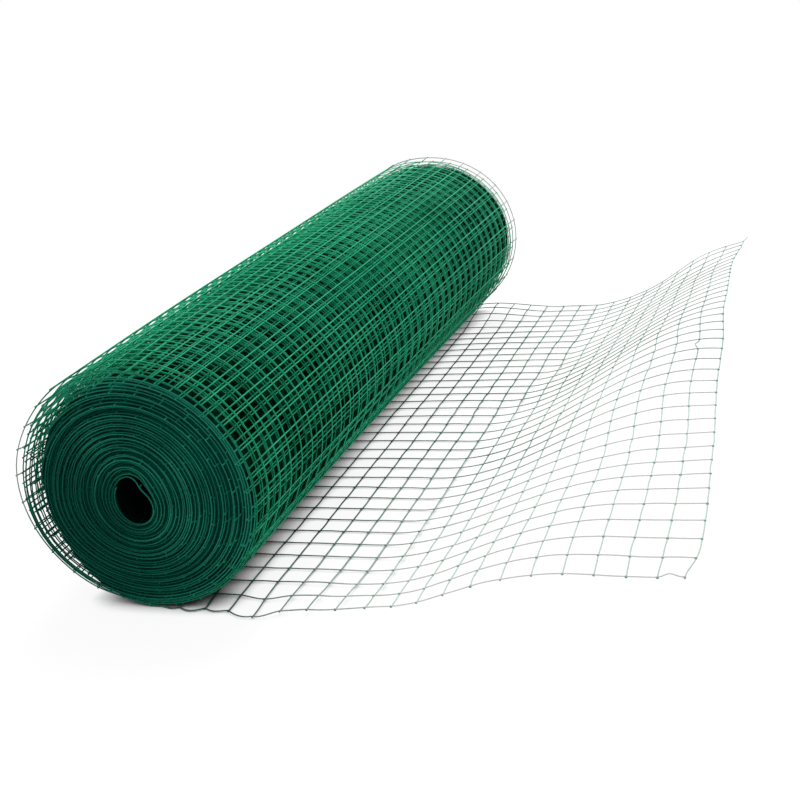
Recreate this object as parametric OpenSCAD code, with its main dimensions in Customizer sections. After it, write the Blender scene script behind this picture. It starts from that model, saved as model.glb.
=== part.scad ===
// Roll of coated welded wire fencing, lying on its side with its loose end run out over the floor.
// X runs out along the loose end, Y along the axis of the roll, Z up. The floor is at zero height.
// The origin is at the middle of the footprint, on the floor. All lengths are in millimetres.

/* [Mesh] */
// Spacing of the wires, both ways
cell = 25; // [20:1:40]
// Diameter of the wire with its coat
wire_d = 1.2; // [0.8:0.1:2.2]
// Number of cells across the width of the fencing
cells_across = 36; // [24:1:40]

/* [Roll] */
// Outer diameter of the wound roll
roll_d = 228; // [180:1:260]
// Diameter of the bore through the middle
bore_d = 38; // [30:1:60]
// Radial distance from one turn to the next
turn_pitch = 2.6; // [2:0.1:5]
// Depth of the gap between two turns, seen on the ends
turn_gap_depth = 6; // [2:0.5:12]
// Depth of the gap between two lengthwise wires, seen on the outside
wire_gap_depth = 12; // [4:0.5:20]
// Gap between the roll and the mesh that it lies on
seat_gap = 0.2; // [0.1:0.05:0.4]

/* [Loose end] */
// Cells that lie flat, counted from the edge under the roll
flat_cells = 6; // [5:1:9]
// Cells of the loose end that lift off the floor
raised_cells = 13; // [8:1:14]
// Length of mesh that reaches back past the line where the roll touches it
tuck = 9.2; // [6:0.1:12]
// Length of mesh past the last flat crosswire before the front edge lifts
front_lift = 8; // [0:1:30]
// Length of mesh past the last flat crosswire before the back edge lifts
back_lift = 83; // [20:1:120]
// Length of mesh over which the front edge climbs before it levels out
front_climb = 236; // [190:1:300]
// Length of mesh over which the back edge would climb before it levels out
back_climb = 328; // [240:1:400]
// Height of the climb at the front edge
front_rise = 46; // [20:1:90]
// Height of the climb in the middle
middle_rise = 95; // [20:1:110]
// Height of the climb at the back edge
back_rise = 98; // [20:1:110]

/* [Hidden] */
$fn = 96;

mesh_green = [0.02, 0.42, 0.27];
tip_green = [0.03, 0.47, 0.31];

// Half of the raised cells belong to the bend, the rest to the tip
bend_share = 0.5;
// Steps in which each cell of the loose end is worked out
steps = 4;

wire_r = wire_d / 2;
mesh_w = cells_across * cell;
roll_len = mesh_w + wire_d;
roll_r = roll_d / 2;
bore_r = bore_d / 2;
axis_z = wire_d + seat_gap + roll_r;
turns = floor((roll_r - bore_r - wire_d) / turn_pitch);
bend_cells = round(raised_cells * bend_share);

// Where the flat part ends
flat_len = flat_cells * cell;
flat_end_x = flat_len - tuck;

// Start, length and height of the climb across the mesh, t running from 0 at the front to 1 at the back
function lift_at(t) = front_lift + (back_lift - front_lift) * t;
function climb_at(t) = front_climb + (back_climb - front_climb) * t;
function rise_at(t) =
    front_rise * (2 * t - 1) * (t - 1) + middle_rise * 4 * t * (1 - t) + back_rise * t * (2 * t - 1);

// Angle of the mesh at a distance s past the flat part: it starts level, climbs and levels out again
function rise_angle(s, t) =
    let (u = max(0, min(1, (s - lift_at(t)) / climb_at(t))))
    asin(min(1, rise_at(t) / climb_at(t) * 6 * u * (1 - u)));

// Path of one lengthwise wire over the raised part, as x and z at each step
step_len = cell / steps;
function wire_path(t) = [
    for (k = 0, x = flat_end_x, z = wire_r, a = rise_angle(step_len / 2, t);
        k <= raised_cells * steps;
        x = x + step_len * cos(a),
        z = z + step_len * sin(a),
        k = k + 1,
        a = rise_angle((k + 1 / 2) * step_len, t)) [x, z]];
paths = [for (i = [0 : cells_across]) wire_path(i / cells_across)];

// Crossing j of wire i on the raised part, j = 0 being the last flat crosswire
function crossing(i, j) = paths[i][j * steps];
function crossing_angle(i, j) = rise_angle(j * cell, i / cells_across);

// Corner of the small block where two wires are welded, c counting along, across and up
function weld_corner(i, j, c) =
    let (
        p = crossing(i, j),
        a = crossing_angle(i, j),
        along = c >= 4 ? wire_r : -wire_r,
        side = c % 4 >= 2 ? wire_r : -wire_r,
        up = c % 2 == 1 ? wire_r : -wire_r
    )
    [p[0] + along * cos(a) - up * sin(a), i * cell - mesh_w / 2 + side, p[1] + along * sin(a) + up * cos(a)];

// The footprint's middle is the origin, so everything is drawn shifted by this much
reach_x = max([for (i = [0 : cells_across]) for (c = [4 : 7]) weld_corner(i, raised_cells, c)[0]]);
shift_x = (roll_r - reach_x) / 2;

// Two triangles that fill a four-cornered face
function quad(a, b, c, d) = [[a, b, c], [a, c, d]];

// Raised stretch of mesh, from crosswire first to crosswire last. The wires start at the face of
// crosswire first, which belongs to the stretch before.
module raised_mesh(first, last) {
    count = last - first;
    stride = 4 + 8 * count;
    points = [
        for (i = [0 : cells_across]) each concat(
            [for (c = [4 : 7]) weld_corner(i, first, c)],
            [for (k = [1 : count]) for (c = [0 : 7]) weld_corner(i, first + k, c)])
    ];
    function at(i, k, c) = i * stride + 8 * k - 4 + c;
    function face(i, k, c) = quad(at(i, k, c[0]), at(i, k, c[1]), at(i, k, c[2]), at(i, k, c[3]));
    // Sides of a bar from weld p to weld q, each by two corners of p and two of q
    function bar(p, q, sides) = [for (c = sides)
        each quad(at(p[0], p[1], c[0]), at(p[0], p[1], c[1]), at(q[0], q[1], c[2]), at(q[0], q[1], c[3]))];
    lengthwise = [[5, 7, 3, 1], [6, 4, 0, 2], [4, 5, 1, 0], [7, 6, 2, 3]];
    crosswise = [[7, 3, 1, 5], [2, 6, 4, 0], [3, 2, 0, 1], [6, 7, 5, 4]];
    start_caps = [for (i = [0 : cells_across])
        each quad(at(i, 0, 4), at(i, 0, 6), at(i, 0, 7), at(i, 0, 5))];
    welds = [for (i = [0 : cells_across]) for (k = [1 : count])
        each concat(face(i, k, [1, 3, 7, 5]), face(i, k, [0, 4, 6, 2]))];
    end_caps = [for (i = [0 : cells_across]) each face(i, count, [4, 5, 7, 6])];
    edge_caps = [for (k = [1 : count])
        each concat(face(0, k, [0, 1, 5, 4]), face(cells_across, k, [2, 6, 7, 3]))];
    long_bars = [for (i = [0 : cells_across]) for (k = [1 : count])
        each bar([i, k - 1], [i, k], lengthwise)];
    cross_bars = [for (i = [1 : cells_across]) for (k = [1 : count])
        each bar([i - 1, k], [i, k], crosswise)];
    polyhedron(points, concat(start_caps, welds, end_caps, edge_caps, long_bars, cross_bars));
}

// One turn ends in a flat crest a wire wide, with a gap to the next turn
function turn_crest(k, sign) =
    let (r = bore_r + k * turn_pitch, y = sign * roll_len / 2, gap_y = y - sign * turn_gap_depth)
    [[r, y], [r + wire_d, y], [r + (wire_d + turn_pitch) / 2, gap_y]];

// Gap on the outside between lengthwise wires i and i + 1, counted from the back. The gaps at both
// ends stay clear of those between the turns.
function wire_gap(i) =
    let (
        clear_y = roll_len / 2 - turn_gap_depth - wire_d,
        back_y = min(clear_y, mesh_w / 2 - i * cell - wire_r),
        front_y = max(-clear_y, mesh_w / 2 - (i + 1) * cell + wire_r),
        gap_r = roll_r - wire_gap_depth
    )
    [[roll_r, back_y], [gap_r, back_y], [gap_r, front_y], [roll_r, front_y]];

// Half section of the roll: the bore, the turns on the back end, the outside with its lengthwise wires
// stacked into rings, and the turns on the front
module roll_section() {
    last_r = bore_r + turns * turn_pitch;
    back = [for (k = [0 : turns - 1]) each turn_crest(k, 1)];
    front = [for (k = [0 : turns - 1]) each turn_crest(k, -1)];
    back_corner = [[last_r, roll_len / 2], [roll_r, roll_len / 2]];
    front_corner = [[roll_r, -roll_len / 2], [last_r, -roll_len / 2]];
    gaps = [for (i = [0 : cells_across - 1]) each wire_gap(i)];
    inwards = [for (k = [len(front) - 1 : -1 : 0]) front[k]];
    polygon(concat(back, back_corner, gaps, front_corner, inwards));
}

// The wound turns: one turned body with its bore
module roll() {
    color(mesh_green)
        translate([shift_x, 0, axis_z])
            rotate([-90, 0, 0])
                rotate_extrude()
                    roll_section();
}

// The stretch of mesh that lies on the floor, from under the roll to the last flat crosswire
module loose_end_flat() {
    window = cell - wire_d;
    color(mesh_green)
        translate([shift_x - tuck, -mesh_w / 2, 0])
            linear_extrude(wire_d)
                difference() {
                    translate([-wire_r, -wire_r])
                        square([flat_len + wire_d, mesh_w + wire_d]);
                    for (i = [0 : cells_across - 1])
                        for (j = [0 : flat_cells - 1])
                            translate([j * cell + wire_r, i * cell + wire_r])
                                square(window);
                }
}

// The stretch of mesh that bends up off the floor
module loose_end_bend() {
    color(mesh_green)
        translate([shift_x, 0, 0])
            raised_mesh(0, bend_cells);
}

// The rest of the mesh, out to the free edge
module loose_end_tip() {
    color(tip_green)
        translate([shift_x, 0, 0])
            raised_mesh(bend_cells, raised_cells);
}

roll();
loose_end_flat();
loose_end_bend();
loose_end_tip();
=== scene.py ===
"""Roll of coated welded wire fencing, lying on its side with its loose end run out over the floor.

The outer turns, both edges of every turn and the loose end are drawn wire by wire, in metres and in the
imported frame: X runs out along the loose end, Y along the axis of the roll and Z up from the floor.
"""
import logging
import math
from collections.abc import Callable
from dataclasses import dataclass, replace
from enum import Enum
from functools import partial

import bpy
import numpy as np
from mathutils import Matrix, Vector


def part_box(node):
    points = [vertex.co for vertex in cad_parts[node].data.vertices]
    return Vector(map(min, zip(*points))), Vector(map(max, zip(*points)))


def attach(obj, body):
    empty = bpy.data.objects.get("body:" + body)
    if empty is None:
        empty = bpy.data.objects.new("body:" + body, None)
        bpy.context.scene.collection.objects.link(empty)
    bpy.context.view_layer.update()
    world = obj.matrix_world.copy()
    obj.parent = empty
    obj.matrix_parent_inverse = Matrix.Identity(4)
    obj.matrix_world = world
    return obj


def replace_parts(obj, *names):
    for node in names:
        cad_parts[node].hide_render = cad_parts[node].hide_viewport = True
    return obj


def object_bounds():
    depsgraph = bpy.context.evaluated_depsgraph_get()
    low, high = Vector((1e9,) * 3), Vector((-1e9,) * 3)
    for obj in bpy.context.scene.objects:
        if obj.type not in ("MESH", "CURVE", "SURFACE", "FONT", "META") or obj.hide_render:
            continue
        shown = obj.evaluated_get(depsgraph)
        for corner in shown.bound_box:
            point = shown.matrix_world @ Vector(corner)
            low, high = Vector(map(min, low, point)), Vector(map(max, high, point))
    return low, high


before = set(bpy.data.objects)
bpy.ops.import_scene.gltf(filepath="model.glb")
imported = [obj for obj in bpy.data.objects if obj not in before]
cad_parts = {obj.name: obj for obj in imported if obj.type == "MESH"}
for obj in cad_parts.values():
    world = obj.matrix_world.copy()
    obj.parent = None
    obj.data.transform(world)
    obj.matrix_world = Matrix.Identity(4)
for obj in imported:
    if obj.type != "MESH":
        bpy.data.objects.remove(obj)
CAD_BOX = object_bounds()

MM = 0.001
FULL_TURN = 2 * math.pi
ACROSS = (0.0, 1.0, 0.0)
UPWARDS = (0.0, 0.0, 1.0)
BEAD_SIZES = (0.85, 1.15)
MEASURE_STEPS = 180
LOG = logging.getLogger("fence_roll")

Array = np.ndarray
Piece = bpy.types.Object
Pair = tuple[float, float]
Triple = tuple[float, float, float]
FourWays = tuple[int, int, int, int]
ToneRule = Callable[[Array, Array], Array]


class Layer(Enum):
    """Depth of a wound wire, with the steps in each turn and the sides that it is drawn with."""

    RIM = (96, 6)
    OUTER = (72, 6)
    UNDER = (52, 5)
    EDGE = (64, 6)

    @property
    def steps(self) -> int:
        """Steps in each turn."""
        return self.value[0]

    @property
    def sides(self) -> int:
        """Sides of the wire."""
        return self.value[1]


def unit(vectors: Array) -> Array:
    """Scales vectors to a length of one."""
    return vectors / np.linalg.norm(vectors, axis=-1, keepdims=True)


def clamp(values: Array) -> Array:
    """Keeps values between 0 and 1."""
    return np.clip(values, 0.0, 1.0)


def lobe(angle: Array, middle: float, focus: float) -> Array:
    """Rises to 1 where the angle comes round to the middle, more narrowly for a higher focus."""
    return np.exp(focus * (np.cos(angle - middle) - 1))


def curve(front: Array | float, middle: Array | float, back: Array | float, share: Array) -> Array:
    """Goes smoothly from the front value over the middle one to the back one, by the share of the way."""
    forward = front * (2 * share - 1) * (share - 1) + middle * 4 * share * (1 - share)
    return forward + back * share * (2 * share - 1)


@dataclass(frozen=True)
class Ripple:
    """Smooth, seeded unevenness over one or two directions.

    Args:
        seed: Seed of the waves.
        height: Typical height of the unevenness.
        rates: Typical wave rate along each direction, in radians a unit.
        count: Number of waves that are added up.
    """

    seed: int
    height: float
    rates: Pair
    count: int = 8

    def at(self, first: Array, second: Array | float = 0.0) -> Array:
        """Works out the unevenness at some places.

        Args:
            first: Places along the first direction.
            second: Places along the second direction.

        Returns:
            The unevenness, in the shape that both inputs spread to.
        """
        rng = np.random.default_rng(self.seed)
        total = np.zeros(np.broadcast(first, second).shape)
        for _ in range(self.count):
            rate_a, rate_b = rng.normal(0.0, self.rates)
            total = total + np.sin(rate_a * first + rate_b * second + rng.uniform(0.0, FULL_TURN))
        return self.height * math.sqrt(2 / self.count) * total


def joined_object(
    name: str, points: Array, faces: list[Array], smooth: list[bool], tones: Array
) -> Piece:
    """Makes one mesh object out of arrays.

    Args:
        name: Name of the piece.
        points: Corner points, as (points, 3).
        faces: Groups of faces, each as (faces, corners of a face).
        smooth: Whether each group of faces is shaded smooth.
        tones: Lightness of the coat at each point, kept as the attribute tone.

    Returns:
        The new object, linked to the scene.
    """
    mesh = bpy.data.meshes.new(name)
    mesh.from_pydata(points.tolist(), [], [face for group in faces for face in group.tolist()])
    mesh.polygons.foreach_set("use_smooth", np.repeat(smooth, [len(group) for group in faces]))
    note_tones(mesh, tones)
    mesh.validate()
    piece = bpy.data.objects.new(name, mesh)
    bpy.context.scene.collection.objects.link(piece)
    return piece


def note_tones(mesh: bpy.types.Mesh, tones: Array) -> None:
    """Keeps the lightness of the coat at each point as the attribute tone."""
    tone = mesh.attributes.new("tone", "FLOAT", "POINT")
    tone.data.foreach_set("value", tones.astype(np.float32).ravel())


def coated(piece: Piece, coat: bpy.types.Material) -> Piece:
    """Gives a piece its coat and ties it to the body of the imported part.

    Args:
        piece: The piece.
        coat: Its coat.

    Returns:
        The piece.
    """
    piece.data.materials.append(coat)
    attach(piece, "root")
    return piece


class WireBundle:
    """Round wires, gathered as arrays and joined into one mesh."""

    def __init__(self, sides: int) -> None:
        """Starts an empty bundle of wires with this many sides."""
        self.sides = sides
        self.parts: list[tuple[Array, ...]] = []
        self.count = 0

    def add(self, paths: Array, side: Triple, radius: float, tones: Array) -> None:
        """Adds wires that all have the same number of points.

        Args:
            paths: Centre lines, as (wires, points, 3).
            side: A direction that the wires never run along.
            radius: Radius of the wires.
            tones: Lightness of the coat at each point of the centre lines.
        """
        wires, steps = paths.shape[:2]
        along = unit(np.gradient(paths, axis=1))
        out = unit(np.cross(np.array(side), along))
        across = np.cross(along, out)
        angle = FULL_TURN * np.arange(self.sides)[:, None] / self.sides
        spoke = np.cos(angle) * out[:, :, None, :] + np.sin(angle) * across[:, :, None, :]
        rings = paths[:, :, None, :] + radius * spoke
        index = np.arange(wires * steps * self.sides).reshape(wires, steps, self.sides) + self.count
        after = np.roll(index, -1, axis=2)
        quads = np.stack([index[:, :-1], after[:, :-1], after[:, 1:], index[:, 1:]], axis=-1)
        caps = np.concatenate([index[:, 0, ::-1], index[:, -1]])
        tones = np.repeat(tones.ravel(), self.sides)
        self.parts.append((rings.reshape(-1, 3), quads.reshape(-1, 4), caps, tones))
        self.count += index.size

    def finish(self, name: str) -> Piece:
        """Joins the wires into one piece with this name."""
        points, quads, caps, tones = (np.concatenate(part) for part in zip(*self.parts))
        return joined_object(name, points, [quads, caps], [True, False], tones)


class WeldBead:
    """Small lump of weld and coat where two wires cross, modelled once and copied to every crossing."""

    def __init__(self, rounds: int, half_sizes: Triple) -> None:
        """Models the bead.

        Args:
            rounds: Rounds of subdivision of the lump.
            half_sizes: Half its size along the lengthwise wire, along the crosswire and from wire to wire.
        """
        bpy.ops.object.select_all(action="DESELECT")
        bpy.ops.mesh.primitive_ico_sphere_add(subdivisions=rounds, radius=1.0)
        lump = bpy.context.object
        bpy.ops.object.mode_set(mode="EDIT")
        bpy.ops.mesh.select_all(action="SELECT")
        bpy.ops.transform.resize(value=half_sizes)
        bpy.ops.object.mode_set(mode="OBJECT")
        self.points = np.array([vertex.co for vertex in lump.data.vertices])
        self.faces = np.array([face.vertices for face in lump.data.polygons])
        spare = lump.data
        bpy.data.objects.remove(lump)
        bpy.data.meshes.remove(spare)

    def copy_to(
        self, name: str, places: Array, along: Array, up: Array, tones: Array,
        rng: np.random.Generator,
    ) -> Piece:
        """Copies the bead to many crossings, as one joined piece.

        Args:
            name: Name of the piece.
            places: Crossings, as (crossings, 3).
            along: Direction of the lengthwise wire at each crossing.
            up: Direction from the lengthwise wire to the crosswire at each crossing.
            tones: Lightness of the coat of each copy.
            rng: Source of the sizes of the copies.

        Returns:
            The joined piece.
        """
        sizes = rng.uniform(*BEAD_SIZES, len(places))
        first = unit(along)
        second = unit(np.cross(up, first))
        axes = np.stack([first, second, np.cross(first, second)], axis=1) * sizes[:, None, None]
        points = places[:, None, :] + np.einsum("pk,ckx->cpx", self.points, axes)
        offsets = np.arange(len(places))[:, None, None] * len(self.points)
        faces = (self.faces[None] + offsets).reshape(-1, self.faces.shape[1])
        return joined_object(
            name, points.reshape(-1, 3), [faces], [True], np.repeat(tones, len(self.points))
        )


@dataclass(frozen=True)
class FenceMesh:
    """The welded mesh itself: wire spacing, wire size and how the wires sit on each other.

    Args:
        cell: Spacing of the wires, both ways.
        wire: Diameter of a wire with its coat.
        cells_across: Cells across the width of the fencing.
        weld_sink: How far two wires sink into each other where they are welded.
        tuck: Length of mesh from the contact line under the roll back to the next crosswire.
    """

    cell: float = 25 * MM
    wire: float = 1.2 * MM
    cells_across: int = 36
    weld_sink: float = 0.3 * MM
    tuck: float = 9.2 * MM

    @property
    def wire_r(self) -> float:
        """Radius of a wire."""
        return self.wire / 2

    @property
    def stack(self) -> float:
        """Distance between the centre lines of two welded wires."""
        return self.wire - self.weld_sink

    @property
    def width(self) -> float:
        """Width between the two edge wires."""
        return self.cells_across * self.cell

    @property
    def end_y(self) -> float:
        """Place across the fencing where the crosswires end, just past the edge wires."""
        return self.width / 2 + self.wire_r

    @property
    def sheet_z(self) -> float:
        """Height of the lengthwise wires where the mesh lies on the floor."""
        return self.wire_r + self.stack

    def wire_y(self) -> Array:
        """Place of every lengthwise wire across the fencing, from front to back."""
        return (np.arange(self.cells_across + 1) - self.cells_across / 2) * self.cell


@dataclass(frozen=True)
class Oval:
    """Sagging oval of one turn, by its reach from the hub point each way.

    Args:
        bottom: Reach downwards.
        top: Reach upwards.
        left: Reach away from the loose end.
        right: Reach towards the loose end.
        lean: Extra reach at the upper left and the lower right, where the roll leans over.
        belly: Extra reach at the lower left, where the turns bag out.
        belly_angle: Angle at which they bag out most.
        belly_focus: How narrow that place is.
    """

    bottom: float
    top: float
    left: float
    right: float
    lean: float = 0.0
    belly: float = 0.0
    belly_angle: float = 1.25
    belly_focus: float = 8.0

    def reach(self, angle: Array) -> Array:
        """Works out the reach.

        Args:
            angle: Angle from the bottom, away from the loose end.

        Returns:
            The reach at each angle.
        """
        return (
            (self.bottom + self.top + self.left + self.right) / 4
            + (self.bottom - self.top) / 2 * np.cos(angle)
            + (self.bottom + self.top - self.left - self.right) / 4 * np.cos(2 * angle)
            + (self.left - self.right) / 2 * np.sin(angle)
            + self.lean * np.minimum(0.0, np.sin(2 * angle)) ** 2
            + self.belly * lobe(angle, self.belly_angle, self.belly_focus)
        )


def add_node(
    tree: bpy.types.NodeTree, kind: str, output: str, inputs: dict[str | int, object], **settings: object
) -> bpy.types.NodeSocket:
    """Adds a shader node with its settings, values and links.

    Args:
        tree: Node tree that gets the node.
        kind: Kind of node.
        output: Name of the output that is wanted.
        inputs: For each input, by name or number, its value or the socket that is linked to it.
        settings: Settings of the node itself.

    Returns:
        The wanted output.
    """
    node = tree.nodes.new(f"ShaderNode{kind}")
    for name, value in settings.items():
        setattr(node, name, value)
    for key, value in inputs.items():
        if isinstance(value, bpy.types.NodeSocket):
            tree.links.new(value, node.inputs[key])
        else:
            node.inputs[key].default_value = value
    return node.outputs[output]


@dataclass(frozen=True)
class CoatPattern:
    """Unevenness that all coats share, as a node group.

    Args:
        name: Name of the group.
        patches: Rate, detail and weight of the large patches.
        grain: Detail and weight of the fine grain.
        pale: Values of tone, patches and grain together between which the coat turns pale.
        deep: Values between which it turns deep.
        rough: How much the grain adds to the roughness.
        dust: Colour of the dust that pale places gather towards the back.
        dust_end: Place along Y where that is thickest.
    """

    name: str = "uneven_coat"
    patches: Triple = (28.0, 3.0, 0.5)
    grain: Pair = (4.0, 0.35)
    pale: Pair = (0.55, 1.25)
    deep: Pair = (0.75, 0.35)
    rough: float = 0.25
    dust: Triple = (0.8, 0.9, 0.85)
    dust_end: float = 0.45

    def group(self) -> bpy.types.ShaderNodeTree:
        """Gives the node group, building it on the first call.

        Returns:
            The group: place, tone and colours go in; colour, roughness and height come out.
        """
        if self.name in bpy.data.node_groups:
            return bpy.data.node_groups[self.name]
        tree = bpy.data.node_groups.new(self.name, "ShaderNodeTree")
        sockets = (
            ("INPUT", "NodeSocketVector", ("Place",)),
            ("INPUT", "NodeSocketColor", ("Base", "Pale", "Deep")),
            ("INPUT", "NodeSocketFloat", ("Tone", "Gloss", "Grain Rate", "Dust")),
            ("OUTPUT", "NodeSocketColor", ("Colour",)),
            ("OUTPUT", "NodeSocketFloat", ("Roughness", "Height")),
        )
        for way, kind, names in sockets:
            for name in names:
                tree.interface.new_socket(name, in_out=way, socket_type=kind)
        given = tree.nodes.new("NodeGroupInput").outputs
        add = partial(add_node, tree)
        weigh = partial(add, "Math", "Value", operation="MULTIPLY_ADD")
        ramp = partial(add, "MapRange", "Result")
        mix = partial(add, "Mix", "Result", data_type="RGBA")
        place = given["Place"]
        rate, patch_detail, patch_weight = self.patches
        grain_detail, grain_weight = self.grain
        patches = add("TexNoise", "Fac", {"Vector": place, "Scale": rate, "Detail": patch_detail})
        grain = add(
            "TexNoise", "Fac", {"Vector": place, "Scale": given["Grain Rate"], "Detail": grain_detail})
        patched = weigh({0: patches, 1: patch_weight, 2: given["Tone"]})
        value = weigh({0: grain, 1: grain_weight, 2: patched})
        paleness = ramp({"Value": value, "From Min": self.pale[0], "From Max": self.pale[1]})
        depth = ramp({"Value": value, "From Min": self.deep[0], "From Max": self.deep[1]})
        along = add("SeparateXYZ", "Y", {"Vector": place})
        far = ramp({"Value": along, "From Max": self.dust_end, "To Max": given["Dust"]})
        dusty = add("Math", "Value", {0: far, 1: paleness}, operation="MULTIPLY")
        pale = mix({"Factor": paleness, "A": given["Base"], "B": given["Pale"]})
        dusted = mix({"Factor": dusty, "A": pale, "B": (*self.dust, 1.0)})
        result = {
            "Colour": mix({"Factor": depth, "A": dusted, "B": given["Deep"]}),
            "Roughness": weigh({0: grain, 1: self.rough, 2: given["Gloss"]}),
            "Height": grain,
        }
        outside = tree.nodes.new("NodeGroupOutput")
        for name, socket in result.items():
            tree.links.new(socket, outside.inputs[name])
        return tree


@dataclass(frozen=True)
class CoatFinish:
    """Plastic coat of the wires.

    Args:
        name: Name of the material.
        base: Usual colour of the coat.
        pale: Colour where the tone is high: painted light, and lighter patches at random.
        deep: Colour where the tone is low: painted shade, and darker patches at random.
        roughness: Roughness of the coat.
        shine: Strength of the reflections.
        grain: Spacing of the fine mottling.
        bump: Depth of the fine unevenness.
        bump_strength: How strongly that unevenness shows.
        dust: How dusty the pale places at the back are.
    """

    name: str
    base: Triple
    pale: Triple
    deep: Triple
    roughness: float
    shine: float = 0.08
    grain: float = 3 * MM
    bump: float = 0.15 * MM
    bump_strength: float = 0.6
    dust: float = 0.0

    def material(self) -> bpy.types.Material:
        """Builds the material, with the shared pattern and a principled shader.

        Returns:
            The material.
        """
        made = bpy.data.materials.new(self.name)
        made.use_nodes = True
        tree = made.node_tree
        values = {
            "Place": add_node(tree, "TexCoord", "Object", {}),
            "Tone": add_node(tree, "Attribute", "Fac", {}, attribute_name="tone"),
            "Base": (*self.base, 1.0),
            "Pale": (*self.pale, 1.0),
            "Deep": (*self.deep, 1.0),
            "Gloss": self.roughness,
            "Grain Rate": 1 / self.grain,
            "Dust": self.dust,
        }
        colour = add_node(tree, "Group", "Colour", values, node_tree=CoatPattern().group())
        coat = colour.node.outputs
        relief = {"Height": coat["Height"], "Distance": self.bump, "Strength": self.bump_strength}
        normal = add_node(tree, "Bump", "Normal", relief)
        shader = tree.nodes["Principled BSDF"]
        shader.inputs["Specular IOR Level"].default_value = self.shine
        tree.links.new(colour, shader.inputs["Base Color"])
        tree.links.new(coat["Roughness"], shader.inputs["Roughness"])
        tree.links.new(normal, shader.inputs["Normal"])
        return made


@dataclass(frozen=True)
class Swell:
    """A stretch of the outer turns that stands out from the roll.

    Args:
        height: How far it stands out.
        angle: Angle of its middle, wound since the contact line.
        spread: Angle over which it fades.
        edge: Place along the roll where it is highest.
        fade: Distance along the roll over which it fades.
    """

    height: float
    angle: float
    spread: float
    edge: float
    fade: float

    def at(self, angle: Array, y: Array) -> Array:
        """Works out how far the turns stand out at some angles wound and places along the roll."""
        off = (angle - self.angle) / self.spread
        return self.height * np.exp(-(off**2)) * np.exp(-np.abs(y - self.edge) / self.fade)


@dataclass(frozen=True)
class Packing:
    """How tightly the turns are wound on each other.

    Args:
        turns: Number of turns.
        gaps: Turns where a gap opens and the spare turns' worth of room that it takes, as pairs.
        clump: Turns that lie together in one clump where the outer turns hang loose.
        clump_start: Turn at which one clump ends and the next begins.
        clump_angle: Angle at which the turns hang loosest.
        clump_focus: How narrow that place is.
        clump_depth: How unevenly they are spaced there, 0 being evenly.
        clump_turns: Turns over which that evens out inwards.
        squeeze: Turns' worth of room that the outer turns give up there, by lying tighter.
        squeeze_turns: Turns over which they do.
    """

    turns: float = 36.3
    gaps: tuple[Pair, ...] = (
        (5.6, 0.6), (9.0, 0.6), (12.5, 0.9), (27.0, 0.9), (31.3, 1.1), (33.4, 0.8))
    clump: float = 2.5
    clump_start: float = 1.2
    clump_angle: float = 1.15
    clump_focus: float = 3.0
    clump_depth: float = 0.4
    clump_turns: float = 12.0
    squeeze: float = 4.0
    squeeze_turns: float = 8.0

    def share(self, angle: Array) -> Array:
        """Works out how far in each turn lies.

        Args:
            angle: Angle wound since the contact line.

        Returns:
            The share of the way from the outside, 0, to the core, 1.
        """
        turn = angle / FULL_TURN
        packed = turn + sum(room * clamp(turn - first) for first, room in self.gaps)
        total = self.turns + sum(room for _, room in self.gaps)
        lower_left = lobe(angle, self.clump_angle, self.clump_focus)
        loose = self.clump_depth * lower_left * np.exp(-((turn / self.clump_turns) ** 2))
        wave = FULL_TURN / self.clump
        apart = loose * np.sin(wave * (turn - self.clump_start)) / wave
        tight = self.squeeze * lower_left * (1 - np.exp(-turn / self.squeeze_turns))
        tightest = self.squeeze * lower_left * (1 - np.exp(-self.turns / self.squeeze_turns))
        return clamp((packed + apart * clamp(turn) - tight) / (total - tightest))


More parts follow.
